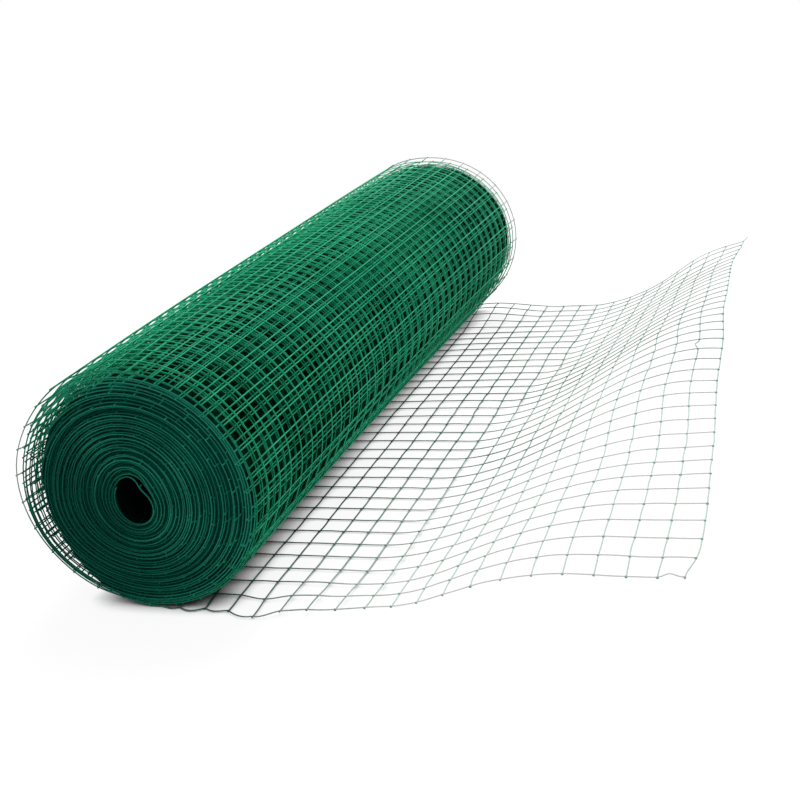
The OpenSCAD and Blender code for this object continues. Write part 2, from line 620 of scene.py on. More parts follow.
@dataclass
class WoundTurns:
    """The wound part of the fencing, wire by wire, from the contact line on the floor in to the core.

    Angles run from the contact line at the bottom, away from the loose end, up and over, inwards.

    Args:
        mesh: The welded mesh.
        hub_x: Place of the hub point along the loose end.
        packing: How tightly the turns are wound.
        stretch: How much longer the wound cells are.
        front: Outermost turn at the front end.
        middle: Outermost turn halfway along the roll.
        back: Outermost turn at the back end.
        core: Innermost turn.
        core_kink: How far the innermost turn is pressed in.
        kink_angle: Angle at which it is.
        kink_focus: How narrow that place is.
        kink_turns: Turns from the end over which it is.
        outer_turns: Turns that are seen from outside.
        under_turns: Turns under those that still show.
        slack: Unevenness of the turns.
        slack_start: Angle over which it sets in.
        looser: How much more uneven the outermost turn is, and the turns over which that goes.
        step_back: How far the outermost turn lies behind the inner ones.
        step_turns: Turns over which that goes.
        drift: How far the turns creep along the roll.
        weave: How far they creep besides, between the two ends.
        weave_power: How close to the ends that goes on.
        creep_start: Angle over which the creeping sets in.
        painted_light_turns: Turns over which the outermost turn is painted lighter: painted light on the
            outside of the roll.
        light_and_shade: Tone of the outer turns, which are painted light, and the turns over which the
            deeper turns come down to their own low tone, which is painted shade.
        core_lighter: How much lighter the innermost turn is, and the turns over which that goes.
        tone: Unevenness of the tone.
        shade: Painted shade: how much darker the coat is painted at the lower left, where the roll lies in
            shade.
        shade_angle: Angle at which that painted shade is darkest.
        rim_tone: Tone of the outermost edges, how much lighter they are painted where they stand out, as
            painted light, and how soon.
        swells: Stretches of the edges that stand out.
        settled: Stretches that stand out or lie tight all along the roll.
        stub: Length of the crosswires at the ends of the inner turns.
        bead: Half sizes of a weld bead.
        seed: Seed of the sizes of the beads.
        finish: Coat of the wires.
        edge_finish: Coat of the edges: a darker, bluer copy of the coat, painted shade on the ends of the
            roll.
        rim_finish: Coat of the edges that stand out, whose pale grey is painted light.
        weld_finish: Coat of the beads.
    """

    mesh: FenceMesh
    hub_x: float
    packing: Packing = Packing()
    stretch: float = 1.02
    front: Oval = Oval(107 * MM, 107.5 * MM, 111 * MM, 112 * MM, 0.0, 3.5 * MM)
    middle: Oval = Oval(107 * MM, 119 * MM, 116 * MM, 116 * MM, 1.5 * MM)
    back: Oval = Oval(107 * MM, 123 * MM, 121 * MM, 127 * MM, 1.5 * MM)
    core: Oval = Oval(28 * MM, 12 * MM, 19.5 * MM, 8 * MM)
    core_kink: float = 4 * MM
    kink_angle: float = 3.5
    kink_focus: float = 6.0
    kink_turns: float = 1.3
    outer_turns: int = 4
    under_turns: int = 8
    slack: Ripple = Ripple(11, 0.4 * MM, (0.9, 5.0))
    slack_start: float = 0.6
    looser: Pair = (1.2, 2.0)
    step_back: float = 5 * MM
    step_turns: float = 4.0
    drift: Ripple = Ripple(12, 1.1 * MM, (0.8, 0.0))
    weave: Ripple = Ripple(14, 4 * MM, (1.1, 0.0))
    weave_power: int = 8
    creep_start: float = 1.5
    painted_light_turns: float = 1.5
    light_and_shade: Pair = (0.5, 5.0)
    core_lighter: Pair = (0.25, 1.5)
    tone: Ripple = Ripple(13, 0.1, (0.55, 7.0))
    shade: float = 0.4
    shade_angle: float = 0.9
    rim_tone: Triple = (0.05, 0.85, 1.3)
    swells: tuple[Swell, ...] = (
        Swell(3.5 * MM, 1.75, 0.42, -450 * MM, 12 * MM),
        Swell(3.5 * MM, 4.0, 1.0, 450 * MM, 22 * MM),
    )
    settled: tuple[Swell, ...] = (
        Swell(3.2 * MM, 2.75, 0.4, 450 * MM, 3.0),
        Swell(1.6 * MM, 9.03, 0.4, 450 * MM, 3.0),
        Swell(-2.2 * MM, 0.33, 0.2, -450 * MM, 0.5),
    )
    stub: float = 14 * MM
    bead: Triple = (1.05 * MM, 1.0 * MM, 1.0 * MM)
    seed: int = 21
    finish: CoatFinish = CoatFinish(
        "coat_wound", (0.004, 0.38, 0.18), (0.055, 0.68, 0.37), (0.001, 0.095, 0.05), 0.4, dust=0.1)
    # A darker, bluer copy of the coat: painted shade on the ends of the roll.
    edge_finish: CoatFinish = CoatFinish(
        "coat_wound_edges_painted_shade", (0.004, 0.18, 0.115), (0.03, 0.38, 0.24), (0.002, 0.1, 0.065), 0.42)
    # Pale grey where the edges stand out: painted light.
    rim_finish: CoatFinish = CoatFinish(
        "coat_wound_rim", (0.006, 0.28, 0.14), (0.58, 0.63, 0.6), (0.005, 0.24, 0.12), 0.42)
    weld_finish: CoatFinish = CoatFinish(
        "coat_wound_weld", (0.004, 0.24, 0.11), (0.025, 0.45, 0.23), (0.001, 0.075, 0.038), 0.45)

    @property
    def hub_z(self) -> float:
        """Height of the hub point."""
        return self.front.bottom + self.mesh.sheet_z

    @property
    def shown_turns(self) -> int:
        """Turns that are drawn with all their wires."""
        return self.outer_turns + self.under_turns

    def reach(self, angle: Array, y: Array) -> Array:
        """Works out how far the mesh is from the hub point, with all its unevenness.

        Args:
            angle: Angle wound.
            y: Place along the roll.

        Returns:
            The reach at each place.
        """
        turn = angle / FULL_TURN
        ovals = (oval.reach(angle) for oval in (self.front, self.middle, self.back))
        outside = curve(*ovals, y / self.mesh.width + 0.5)
        even = outside + (self.core.reach(angle) - outside) * self.packing.share(angle)
        more, fade = self.looser
        looser = clamp(angle / self.slack_start) * (1.0 + more * np.exp(-turn / fade))
        swells = (swell.at(angle, y) for swell in (*self.swells, *self.settled))
        uneven = sum(swells, looser * self.slack.at(angle, y))
        inmost = clamp(turn - (self.packing.turns - self.kink_turns))
        return even + (uneven - self.core_kink * inmost * lobe(angle, self.kink_angle, self.kink_focus))

    def place(self, angle: Array, y: Array, lift: float = 0.0) -> Array:
        """Finds points of the wound mesh, whose turns creep along the roll from the contact line on.

        Args:
            angle: Angle wound.
            y: Place along the roll, in the same shape.
            lift: Distance outwards from the lengthwise wires.

        Returns:
            The points, with one more dimension than the inputs.
        """
        step = clamp(1 - angle / FULL_TURN / self.step_turns)
        upwards = (1 - np.cos(angle)) / 2
        between = 1 - (2 * y / self.mesh.width) ** self.weave_power
        woven = self.drift.at(angle) + between * self.weave.at(angle)
        creep = self.step_back * step * upwards + clamp(angle / self.creep_start) * woven
        reach = self.reach(angle, y) + lift
        x, z = self.hub_x - reach * np.sin(angle), self.hub_z - reach * np.cos(angle)
        return np.stack([x, y + creep, z], axis=-1)

    def tones(self, angle: Array, y: Array, deep: float, painted_light: float = 0.2) -> Array:
        """Works out the tone of the coat, with painted light and shade: the outermost turn is painted
        lightest, and the deep turns and the lower left are painted darker.

        Args:
            angle: Angle wound.
            y: Place along the roll.
            deep: Tone of the turns deep inside, kept low as painted shade.
            painted_light: How much lighter the outermost turn is painted, as painted light.

        Returns:
            The tone at each place.
        """
        turn = angle / FULL_TURN
        outer, outer_fade = self.light_and_shade
        inner, inner_fade = self.core_lighter
        # Painted light on the outermost turns, and painted shade deeper in the roll.
        light_and_shade = painted_light * np.exp(-turn / self.painted_light_turns) + (outer - deep) * np.exp(-turn / outer_fade)
        light_and_shade = light_and_shade + inner * np.exp((turn - self.packing.turns) / inner_fade)
        # Painted shade at the lower left.
        shaded = self.shade * clamp(np.cos(angle - self.shade_angle))
        return deep + light_and_shade - shaded + self.tone.at(angle, y)

    def rim_tones(self, angle: Array, y: Array) -> Array:
        """Works out how light the coat of the outermost edges is: painted lighter where they stand out, as
        painted light.

        Args:
            angle: Angle wound.
            y: Place along the roll.

        Returns:
            The tone at each place.
        """
        around = np.mod(angle, FULL_TURN)
        out = sum(swell.at(around, y) / swell.height for swell in self.swells)
        usual, lighter, soon = self.rim_tone
        return usual + lighter * clamp(soon * out) + 0.5 * self.tone.at(angle, y)

    def lengthwise(
        self, bundle: WireBundle, layer: Layer, wires: Array, start: float, stop: float, tones: ToneRule
    ) -> None:
        """Adds lengthwise wires over a range of turns.

        Args:
            bundle: Bundle that takes the wires.
            layer: How finely they are drawn.
            wires: Places of the wires along the roll.
            start: First turn.
            stop: Last turn.
            tones: Rule for the tone by angle and place along the roll.
        """
        turns = np.linspace(start, stop, round((stop - start) * layer.steps) + 1)
        angles, ys = np.meshgrid(turns * FULL_TURN, wires)
        bundle.add(self.place(angles, ys), ACROSS, self.mesh.wire_r, tones(angles, ys))

    def across(self, bundle: WireBundle, angles: Array, ys: Array, tones: ToneRule) -> None:
        """Adds crosswires at these angles, or parts of them, on the outside of the lengthwise wires."""
        grid, spread = np.meshgrid(angles, ys, indexing="ij")
        bundle.add(self.place(grid, spread, self.mesh.stack), UPWARDS, self.mesh.wire_r, tones(grid, spread))

    def crosswire_angles(self) -> Array:
        """Finds where the crosswires come, by measuring off the cells along the wound mesh.

        Returns:
            The angle of every crosswire, from the contact line inwards.
        """
        turns = self.packing.turns
        angle = np.linspace(0.0, turns * FULL_TURN, round(turns * MEASURE_STEPS))
        points = self.place(angle, np.zeros_like(angle))
        lengths = np.linalg.norm(np.diff(points, axis=0), axis=1)
        wound = np.concatenate([[0.0], np.cumsum(lengths)])
        marks = np.arange(self.mesh.tuck, wound[-1], self.mesh.cell * self.stretch)
        LOG.info("wound mesh: %.2f m, %d crosswires", wound[-1], len(marks))
        return np.interp(marks, wound, angle)

    def build(self) -> list[Piece]:
        """Builds all pieces of the wound part.

        Returns:
            The pieces.
        """
        coat = self.finish.material()
        inner_ys = self.mesh.wire_y()[1:-1]
        angles = self.crosswire_angles()
        spans = {Layer.OUTER: (0, self.outer_turns), Layer.UNDER: (self.outer_turns, self.shown_turns)}
        pieces = []
        for layer, span in spans.items():
            bundle = WireBundle(layer.sides)
            self.lengthwise(bundle, layer, inner_ys, *span, partial(self.tones, deep=0.12))
            pieces.append(self.dress(bundle.finish(f"wound_wires_{layer.name.lower()}"), coat))
        pieces += self.edges(angles)
        pieces.append(self.dress(self.crosswires(angles), coat))
        pieces.append(self.dress(self.welds(angles), self.weld_finish.material()))
        return pieces

    def edges(self, angles: Array) -> list[Piece]:
        """Builds the edges of all turns, with those that stand out as a piece of their own.

        Args:
            angles: Angle of every crosswire.

        Returns:
            Both pieces.
        """
        rim, rest = WireBundle(Layer.RIM.sides), WireBundle(Layer.EDGE.sides)
        ys, end = self.mesh.wire_y(), self.mesh.end_y
        for y, turn in ((ys[[0]], 1.0), (ys[[-1]], self.outer_turns)):
            self.lengthwise(rim, Layer.RIM, y, 0.0, turn, self.rim_tones)
            self.lengthwise(rest, Layer.EDGE, y, turn, self.packing.turns, partial(self.tones, deep=0.3))
        for ends in (np.linspace(-end, ys[1], 4), np.linspace(ys[-2], end, 4)):
            self.across(rim, angles[angles < FULL_TURN], ends, self.rim_tones)
        return [
            self.dress(rim.finish("wound_rim_wires"), self.rim_finish.material()),
            self.dress(rest.finish("wound_edge_wires"), self.edge_finish.material()),
        ]

    def crosswires(self, angles: Array) -> Piece:
        """Builds the crosswires of all turns, whole where they show and as stubs further in.

        Args:
            angles: Angle of every crosswire.

        Returns:
            The joined piece.
        """
        bundle = WireBundle(Layer.OUTER.sides)
        ys, end = self.mesh.wire_y()[1:-1], self.mesh.end_y
        stub = np.linspace(end - self.stub, end, 3)
        turn = angles / FULL_TURN
        # The crosswires that show get painted light, and the stubs deep inside get a tone of 0 as painted
        # shade.
        light = partial(self.tones, deep=0.2, painted_light=0.08)
        dark = partial(self.tones, deep=0.0)
        whole = np.concatenate([[-end], ys, [end]])
        self.across(bundle, angles[turn < 1], ys, light)
        self.across(bundle, angles[(turn >= 1) & (turn < self.shown_turns)], whole, light)
        for part in (stub, -stub[::-1]):
            self.across(bundle, angles[turn >= self.shown_turns], part, dark)
        return bundle.finish("wound_crosswires")

    def welds(self, angles: Array) -> Piece:
        """Builds the weld beads on the turns that show, and along both edges of all turns.

        Args:
            angles: Angle of every crosswire.

        Returns:
            The joined piece.
        """
        ys = self.mesh.wire_y()
        seen = angles < (self.outer_turns - 1) * FULL_TURN
        grids = [np.meshgrid(angles[seen], ys, indexing="ij"),
                 np.meshgrid(angles[~seen], ys[[0, -1]], indexing="ij")]
        angle, y = (np.concatenate([grid[way].ravel() for grid in grids]) for way in (0, 1))
        level = np.zeros_like(angle)
        out = np.stack([-np.sin(angle), level, -np.cos(angle)], axis=-1)
        along = np.stack([-np.cos(angle), level, np.sin(angle)], axis=-1)
        places = self.place(angle, y, self.mesh.stack / 2)
        rng = np.random.default_rng(self.seed)
        return WeldBead(1, self.bead).copy_to(
            "wound_welds", places, along, out, self.tones(angle, y, deep=0.2), rng)

    def dress(self, piece: Piece, coat: bpy.types.Material) -> Piece:
        """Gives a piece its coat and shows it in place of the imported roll."""
        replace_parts(coated(piece, coat), "roll")
        return piece


@dataclass(frozen=True)
class Ring:
    """One ring of a hollow body that lies along Y.

    Args:
        middle: Middle of the ring.
        half_width: Reach to both sides.
        half_height: Reach up and down.
        tone: Lightness of the coat there.
    """

    middle: Triple
    half_width: float
    half_height: float
    # Low by default, so that the bore rings are painted dark as painted shade.
    tone: float = -0.4

    def towards(self, other: "Ring", share: float, y: float, tone: float) -> "Ring":
        """Makes a ring part of the way to another one.

        Args:
            other: The other ring.
            share: Share of the way.
            y: Place of the new ring along Y.
            tone: Lightness of the coat there.

        Returns:
            The new ring.
        """
        x, _, z = (a + (b - a) * share for a, b in zip(self.middle, other.middle))
        wide = self.half_width + (other.half_width - self.half_width) * share
        high = self.half_height + (other.half_height - self.half_height) * share
        return Ring((x, y, z), wide, high, tone)


@dataclass
class PackedTurns:
    """The tight inner turns, which show only as a dark mass behind the wires in front of them; the mass is
    coloured dark as painted shade of the inside of the roll.

    Args:
        wound: The wound turns that lie round the body.
        half_length: Half of the length of the body.
        depths: Turns whose place the body takes at the bottom, left, top and right, given for the
            front end, the middle and the back end.
        bore: Room between the body and the innermost turn.
        sides: Corners of each ring.
        ridges: Ridges on each end, a few fewer than there are turns.
        ridge_depth: Depth of the gaps between the ridges.
        ridge_tones: Lightness of the coat in the gaps and on the ridges, with the gaps darker as painted
            shade.
        side_tone: Lightness of the coat all round, kept low as painted shade inside the roll.
        rim_tone: Lightness of the coat at the front rim.
        rim: Width of the band behind the front rim over which it falls off.
        bulge: How far the front end bags out where the turns lie tight at the bottom.
        bulge_angle: Angle of the middle of that bulge.
        bulge_spread: Angle to both sides that is pulled out with it.
        bulge_reach: Distance over which the rest follows.
        finish: Coat of the body, near black where its tone is low, as painted shade.
    """

    wound: WoundTurns
    half_length: float = 447 * MM
    depths: tuple[FourWays, ...] = ((1, 10, 5, 4), (3, 7, 5, 4), (2, 3, 3, 3))
    bore: float = 2 * MM
    sides: int = 96
    ridges: int = 29
    ridge_depth: float = 3 * MM
    ridge_tones: Pair = (0.2, 0.45)
    side_tone: float = -0.03
    rim_tone: float = 0.25
    rim: float = 8 * MM
    bulge: float = 5 * MM
    bulge_angle: float = 0.4
    bulge_spread: float = 0.18
    bulge_reach: float = 60 * MM
    # A darker copy of the coat, near black where the tone is low: painted shade.
    finish: CoatFinish = CoatFinish(
        "coat_packed_painted_shade", (0.003, 0.14, 0.094), (0.005, 0.2, 0.135), (0.0004, 0.009, 0.006), 0.6,
        shine=0.0, grain=2 * MM, bump=0.4 * MM)

    def around(self, reaches: tuple[float, float, float, float], y: float) -> Ring:
        """Makes a ring from its reach downwards, left, upwards and right of the hub point."""
        low, left, top, right = reaches
        return Ring(
            (self.wound.hub_x + (right - left) / 2, y, self.wound.hub_z + (top - low) / 2),
            (left + right) / 2, (top + low) / 2,
        )

    def outside(self, turns: FourWays, y: float) -> Ring:
        """Fits a ring to the wound turns.

        Args:
            turns: Turns whose place it takes at the bottom, left, top and right.
            y: Place along the roll.

        Returns:
            The ring.
        """
        angles = (np.array(turns) + np.arange(4) / 4) * FULL_TURN
        reaches = self.wound.reach(angles, np.full(4, y))
        return replace(self.around(tuple(map(float, reaches)), y), tone=self.side_tone)

    def inside(self, y: float) -> Ring:
        """Makes the ring of the bore at a place along the roll."""
        core = self.wound.core
        return self.around(
            tuple(reach + self.bore for reach in (core.bottom, core.left, core.top, core.right)), y
        )

    def rings(self) -> list[Ring]:
        """Lays out the rings, from the front outside to the back, through the bore and out again.

        Returns:
            The rings in order.
        """
        end = self.half_length
        front, middle, back = map(self.outside, self.depths, (-end, 0.0, end))
        front_bore, back_bore = self.inside(-end), self.inside(end)
        shares = np.linspace(0.0, 1.0, 2 * self.ridges + 1)[1:-1]
        gap, ridge = zip((self.ridge_depth, 0.0), self.ridge_tones)
        steps = [(share, *(ridge if i % 2 else gap)) for i, share in enumerate(shares)]
        back_end = [back.towards(back_bore, share, end - sunk, tone) for share, sunk, tone in steps]
        front_end = [front_bore.towards(front, share, sunk - end, tone) for share, sunk, tone in steps]
        rim = replace(front, tone=self.rim_tone)
        behind = front.towards(middle, self.rim / end, self.rim - end, self.side_tone)
        return [rim, behind, middle, back, *back_end, back_bore, front_bore, *front_end]

    def build(self) -> Piece:
        """Models the body by drawing one ring out to the next.

        Returns:
            The piece.
        """
        rings = self.rings()
        last = rings[0]
        bpy.ops.object.select_all(action="DESELECT")
        bpy.ops.mesh.primitive_circle_add(
            vertices=self.sides, radius=last.half_width, location=last.middle,
            rotation=(math.pi / 2, 0.0, 0.0),
        )
        body = bpy.context.object
        body.name = "wound_packed_turns"
        bpy.ops.object.transform_apply(location=True, rotation=True, scale=True)
        bpy.ops.object.mode_set(mode="EDIT")
        bpy.ops.mesh.select_mode(type="EDGE")
        bpy.ops.mesh.select_all(action="SELECT")
        bpy.ops.transform.resize(
            value=(1.0, 1.0, last.half_height / last.half_width), center_override=last.middle
        )
        for ring in rings[1:]:
            step = Vector(ring.middle) - Vector(last.middle)
            bpy.ops.mesh.extrude_region_move(TRANSFORM_OT_translate={"value": step})
            wide, high = ring.half_width / last.half_width, ring.half_height / last.half_height
            bpy.ops.transform.resize(value=(wide, 1.0, high), center_override=ring.middle)
            last = ring
        bpy.ops.mesh.select_all(action="DESELECT")
        bpy.ops.mesh.select_non_manifold(
            extend=False, use_wire=False, use_boundary=True, use_multi_face=False,
            use_non_contiguous=False, use_verts=False,
        )
        bpy.ops.mesh.bridge_edge_loops()
        bpy.ops.mesh.select_all(action="SELECT")
        bpy.ops.mesh.normals_make_consistent(inside=False)
        self.bag_out(body)
        note_tones(body.data, np.repeat([ring.tone for ring in rings], self.sides))
        return self.dress(body)

    def bag_out(self, body: Piece) -> None:
        """Pulls the front rim outwards over a stretch, with all that is near it following softly.

        Args:
            body: The body, in edit mode.
        """
        bpy.ops.mesh.select_mode(type="VERT")
        bpy.ops.mesh.select_all(action="DESELECT")
        bpy.ops.object.mode_set(mode="OBJECT")
        for vertex in body.data.vertices[: self.sides]:
            angle = math.atan2(self.wound.hub_x - vertex.co.x, self.wound.hub_z - vertex.co.z)
            vertex.select = abs(angle - self.bulge_angle) < self.bulge_spread
        bpy.ops.object.mode_set(mode="EDIT")
        pull = (-self.bulge * math.sin(self.bulge_angle), 0.0, -self.bulge * math.cos(self.bulge_angle))
        bpy.ops.transform.translate(
            value=pull, use_proportional_edit=True, proportional_edit_falloff="SMOOTH",
            proportional_size=self.bulge_reach,
        )
        bpy.ops.object.mode_set(mode="OBJECT")

    def dress(self, body: Piece) -> Piece:
        """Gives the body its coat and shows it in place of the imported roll."""
        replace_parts(coated(body, self.finish.material()), "roll")
        return body


@dataclass(frozen=True)
class Climb:
    """How the loose end lifts off the floor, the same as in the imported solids.

    Each value goes evenly or on a curve from the front edge to the back edge.

    Args:
        flat: Length from the contact line to the last flat crosswire.
        cells: Cells past that crosswire.
        lift: Length past that crosswire before the front and the back edge lift.
        climb: Length over which the front and the back edge climb.
        rise: Height of the climb at the front, in the middle and at the back.
    """

    flat: float = 140.8 * MM
    cells: int = 13
    lift: Pair = (8 * MM, 83 * MM)
    climb: Pair = (236 * MM, 328 * MM)
    rise: Triple = (46 * MM, 95 * MM, 98 * MM)

    def slope(self, run: Array, across: Array) -> Array:
        """Works out the angle of the mesh.

        Args:
            run: Length along the mesh past the last flat crosswire.
            across: Share of the width, 0 at the front and 1 at the back.

        Returns:
            The angle above the floor.
        """
        start = self.lift[0] + (self.lift[1] - self.lift[0]) * across
        length = self.climb[0] + (self.climb[1] - self.climb[0]) * across
        done = clamp((run - start) / length)
        return np.arcsin(np.minimum(1.0, curve(*self.rise, across) / length * 6 * done * (1 - done)))


@dataclass(frozen=True)
class Dent:
    """A place where the loose end was knocked, in millimetres.

    Args:
        run: Length along the mesh from the contact line.
        y: Place across the mesh.
        shift: How far the middle of the dent was moved.
        reach: Distance over which the dent fades.
    """

    run: float
    y: float
    shift: Triple
    reach: float

    def at(self, run: Array, ys: Array) -> Array:
        """Works out how far the dent moves the mesh, in metres and as (places, lengths, 3)."""
        gap = np.hypot(run[None, :] - self.run * MM, ys[:, None] - self.y * MM) / (self.reach * MM)
        return np.exp(-(gap**2))[:, :, None] * (np.array(self.shift) * MM)


@dataclass
class LooseEnd:
    """The stretch of fencing that is run out over the floor, wire by wire.

    Args:
        mesh: The welded mesh.
        contact_x: Place of the contact line under the roll, from which lengths are measured.
        climb: How the mesh lifts off the floor.
        steps: Steps in each cell.
        sides: Sides of each wire.
        seed: Seed of the bows and of the sizes of the beads.
        sway: Unevenness of the mesh along, across and up.
        sway_start: Where that sets in, and over what length.
        bow: How far a wire bows between two welds.
        dents: Places where the mesh was knocked.
        scallop: How far the front edge wire sags between its welds near the roll.
        scallop_run: Lengths over which that sets in and fades out.
        tail: How far the back edge wire stands out past its last weld.
        bead: Half sizes of a weld bead.
        painted_light_runs: Lengths over which the coat goes from painted shade near the roll to painted
            light at the free edge.
        front_zone: Distance from the middle where the front begins, and over what distance.
        front_lead: How much sooner the painted light comes in at the front.
        painted_tones: Painted light and shade: tone near the roll, low as painted shade, how much lighter
            the free edge is painted, and the front besides.
        tone: Unevenness of the tone.
        long_finish: Coat of the lengthwise wires, whose near-white pale colour is painted reflection.
        cross_finish: Coat of the crosswires, whose pale colour is painted light.
        weld_finish: Coat of the beads, whose pale colour is painted light.
    """

    mesh: FenceMesh
    contact_x: float
    climb: Climb = Climb()
    steps: int = 6
    sides: int = 8
    seed: int = 35
    sway: tuple[Ripple, Ripple, Ripple] = (
        Ripple(31, 0.5 * MM, (22.0, 22.0)),
        Ripple(32, 0.5 * MM, (22.0, 18.0)),
        Ripple(33, 0.7 * MM, (22.0, 20.0)),
    )
    sway_start: Pair = (30 * MM, 150 * MM)
    bow: float = 0.35 * MM
    dents: tuple[Dent, ...] = (
        Dent(466, -450, (-9, 0, 1), 22),
        Dent(430, -450, (-6, 0, 0), 80),
        Dent(290, -440, (-4, 0, 3), 70),
        Dent(240, -400, (-3, 0, -4), 60),
        Dent(400, -240, (3, 0, -8), 100),
        Dent(405, -30, (6, 0, 4), 75),
        Dent(250, 90, (-5, 0, -3), 70),
        Dent(270, 230, (-7, 0, -6), 70),
        Dent(430, 320, (-7, 0, -4), 90),
        Dent(85, 430, (1, 0, 9), 60),
        Dent(453, -450, (0, 0, 3), 7),
        Dent(441, -38, (-4, 0, 1), 7),
        Dent(28, -450, (4, 0, 0), 28),
        Dent(91, -452, (3, -10, 0), 20),
        Dent(91, -427, (1, -5, 0), 16),
        Dent(150, -450, (-2, 0, 5), 50),
        Dent(195, -452, (2, 0, 4), 32),
        Dent(405, 455, (0, 0, 10), 55),
    )
    scallop: float = 7 * MM
    scallop_run: Pair = (14 * MM, 150 * MM)
    tail: Triple = (7 * MM, 3 * MM, 6 * MM)
    bead: Triple = (1.15 * MM, 1.1 * MM, 1.05 * MM)
    painted_light_runs: Pair = (90 * MM, 340 * MM)
    front_zone: Pair = (100 * MM, 300 * MM)
    front_lead: float = 40 * MM
    painted_tones: Triple = (0.15, 0.46, 0.56)
    tone: Ripple = Ripple(36, 0.06, (25.0, 25.0))
    # The pale colours are painted light: the loose end is painted paler toward its free edge, and the
    # lengthwise wires near white as painted reflection.
    long_finish: CoatFinish = CoatFinish(
        "coat_loose_long", (0.02, 0.17, 0.105), (0.93, 0.94, 0.93), (0.004, 0.085, 0.054), 0.42)
    cross_finish: CoatFinish = CoatFinish(
        "coat_loose_cross", (0.015, 0.17, 0.1), (0.72, 0.88, 0.78), (0.004, 0.085, 0.054), 0.42)
    weld_finish: CoatFinish = CoatFinish(
        "coat_loose_weld", (0.008, 0.13, 0.075), (0.34, 0.6, 0.46), (0.003, 0.07, 0.044), 0.45)

    def runs(self) -> Array:
        """Finds the lengths at which the wires are drawn, with the crossings among them.

        Returns:
            The lengths from the contact line.
        """
        first = self.mesh.cell - self.mesh.tuck
        last = self.climb.flat + self.climb.cells * self.mesh.cell
        cells = round((last - first) / self.mesh.cell)
        spaced = first + np.arange(cells * self.steps + 1) * self.mesh.cell / self.steps
        lead = np.linspace(0.0, first, self.steps, endpoint=False)
        return np.concatenate([lead, spaced])

    def surface(self, run: Array, ys: Array) -> Array:
        """Finds the mesh over the loose end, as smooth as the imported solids.

        Args:
            run: Lengths from the contact line.
            ys: Places across the mesh.

        Returns:
            Points at the height of the lengthwise wires, as (places, lengths, 3).
        """
        across = (ys / self.mesh.width + 0.5)[:, None]
        middles = (run[1:] + run[:-1]) / 2 - self.climb.flat
        slope = np.where(middles > 0, self.climb.slope(middles[None, :], across), 0.0)
        lengths = np.diff(run)[None, :]
        zero = np.zeros((len(ys), 1))
        x = run[0] + np.concatenate([zero, np.cumsum(lengths * np.cos(slope), axis=1)], axis=1)
        z = np.concatenate([zero, np.cumsum(lengths * np.sin(slope), axis=1)], axis=1)
        y = np.broadcast_to(ys[:, None], x.shape)
        return np.stack([self.contact_x + x, y, z + self.mesh.sheet_z], axis=-1)

    def shaped(self, run: Array, ys: Array) -> Array:
        """Finds the mesh with its unevenness and dents.

        Args:
            run: Lengths from the contact line.
            ys: Places across the mesh.

        Returns:
            Points at the height of the lengthwise wires, as (places, lengths, 3).
        """
        points = self.surface(run, ys)
        free = clamp((run - self.sway_start[0]) / self.sway_start[1])[None, :]
        for axis, ripple in enumerate(self.sway):
            points[:, :, axis] += free * ripple.at(run[None, :], ys[:, None])
        for dent in self.dents:
            points += dent.at(run, ys)
        points[:, :, 2] = np.maximum(points[:, :, 2], self.mesh.sheet_z)
        return points

    def bows(self, count: int, cells: int, rng: np.random.Generator) -> Array:
        """Works out how far some wires bow to the side at each step between their welds."""
        arch = np.sin(np.arange(self.steps) / self.steps * math.pi)
        return (rng.normal(0.0, self.bow, (count, cells))[:, :, None] * arch).reshape(count, -1)

    def tones(self, points: Array) -> Array:
        """Works out how light the coat is, as painted light and shade: dark near the roll as painted shade,
        light at the free edge and at the front as painted light.

        Args:
            points: Points of the mesh.

        Returns:
            The tone at each point.
        """
        x, y = points[..., 0], points[..., 1]
        front = clamp((-y - self.front_zone[0]) / self.front_zone[1])
        run = x - self.contact_x + front * self.front_lead
        # Painted light grows from the painted shade near the roll toward the free edge, sooner at the front.
        light_and_shade = clamp((run - self.painted_light_runs[0]) / (self.painted_light_runs[1] - self.painted_light_runs[0]))
        near, edge, besides = self.painted_tones
        return near + light_and_shade * (edge + besides * front) + self.tone.at(x, y)

    def build(self) -> list[Piece]:
        """Builds all pieces of the loose end.

        Returns:
            The pieces.
        """
        mesh = self.mesh
        rng = np.random.default_rng(self.seed)
        run = self.runs()
        across = np.linspace(-mesh.width / 2, mesh.width / 2, mesh.cells_across * self.steps + 1)
        points = self.shaped(run, across)
        along = unit(np.gradient(points, axis=1))
        up = unit(np.cross(along, np.array(ACROSS)))
        crossings = np.arange(self.steps, len(run), self.steps)

        wires = points[:: self.steps].copy()
        wires[:, :-1, 1] += self.bows(len(wires), len(crossings), rng)
        set_in, fade_out = self.scallop_run
        near = clamp(1 - run / fade_out) * clamp(run / set_in) ** 2
        sag = np.abs(np.sin((run - run[crossings[0]]) / mesh.cell * math.pi))
        wires[0, :, 1] -= self.scallop * near * sag
        tail = wires[-1:, -1:] + np.linspace(0.0, 1.0, 4)[None, :, None] * np.array(self.tail)
        lengthwise = WireBundle(self.sides)
        for paths in (wires, tail):
            lengthwise.add(paths, ACROSS, mesh.wire_r, self.tones(paths))

        low = points - up * mesh.stack
        crosswires = np.transpose(low[:, crossings], (1, 0, 2)).copy()
        crosswires[:, :-1, 0] += self.bows(len(crosswires), mesh.cells_across, rng)
        crosswires[:, 0, 1] -= mesh.wire_r
        crosswires[:, -1, 1] += mesh.wire_r
        cross = WireBundle(self.sides)
        cross.add(crosswires, UPWARDS, mesh.wire_r, self.tones(crosswires))

